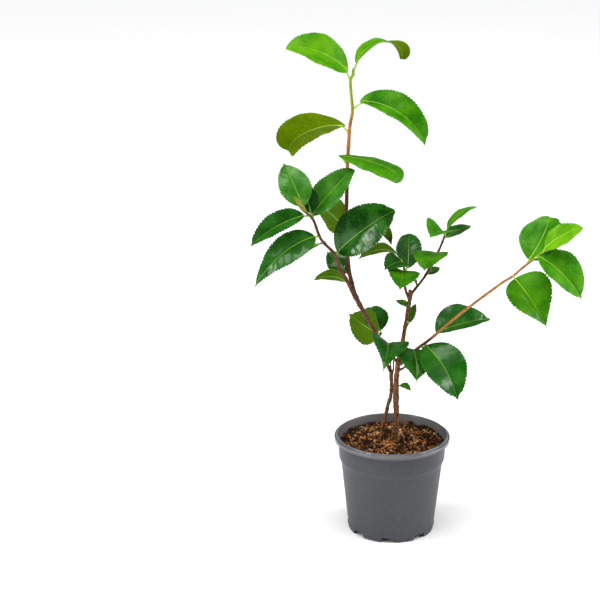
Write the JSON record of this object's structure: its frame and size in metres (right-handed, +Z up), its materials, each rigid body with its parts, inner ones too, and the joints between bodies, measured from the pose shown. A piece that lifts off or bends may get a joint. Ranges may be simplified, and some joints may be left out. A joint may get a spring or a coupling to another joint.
{
  "type": "potted camellia",
  "caption": "Young camellia shrub with slender woody stems and glossy evergreen leaves, standing in a grey nursery pot of compost.",
  "frame": {"origin": "middle of the pot's underside, on the plane that the pot stands on", "axes": "+Z up along the stems; -Y towards the front, the side that the picture shows; +X towards the picture's right"},
  "size_m": [0.3293, 0.1429, 0.5229],
  "materials": {
    "pot_plastic": "satin moulded plastic, mid grey",
    "compost": "loose moist compost, dark brown",
    "bark": "thin rough bark, brown",
    "leaf": "glossy leaf, dark green",
    "young_leaf": "satin young leaf, bright green"
  },
  "bodies": {
    "root": {"pot": "pot_plastic", "compost": "compost", "main_stem": "bark", "second_stem": "bark", "left_bough": "bark", "leader": "bark", "left_branch": "bark", "right_bough": "bark", "left_stub": "bark", "right_stub": "bark", "left_spray": "leaf", "centre_left_spray": "leaf", "centre_right_spray": "leaf", "inner_left_spray": "leaf", "inner_front_spray": "leaf", "inner_right_spray": "leaf", "leader_spray": "young_leaf", "right_spray": "young_leaf", "leader_left_leaf": "leaf", "leader_right_leaf": "leaf", "leader_low_leaf": "leaf", "leader_back_leaf": "leaf", "left_branch_leaf": "leaf", "main_stem_low_leaf": "leaf", "main_stem_left_leaf": "leaf", "main_stem_right_leaf": "leaf", "right_bough_inner_leaf": "leaf", "right_bough_front_leaf": "leaf", "right_bough_back_leaf": "leaf", "right_bough_under_leaf": "leaf"}
  },
  "joints": []
}
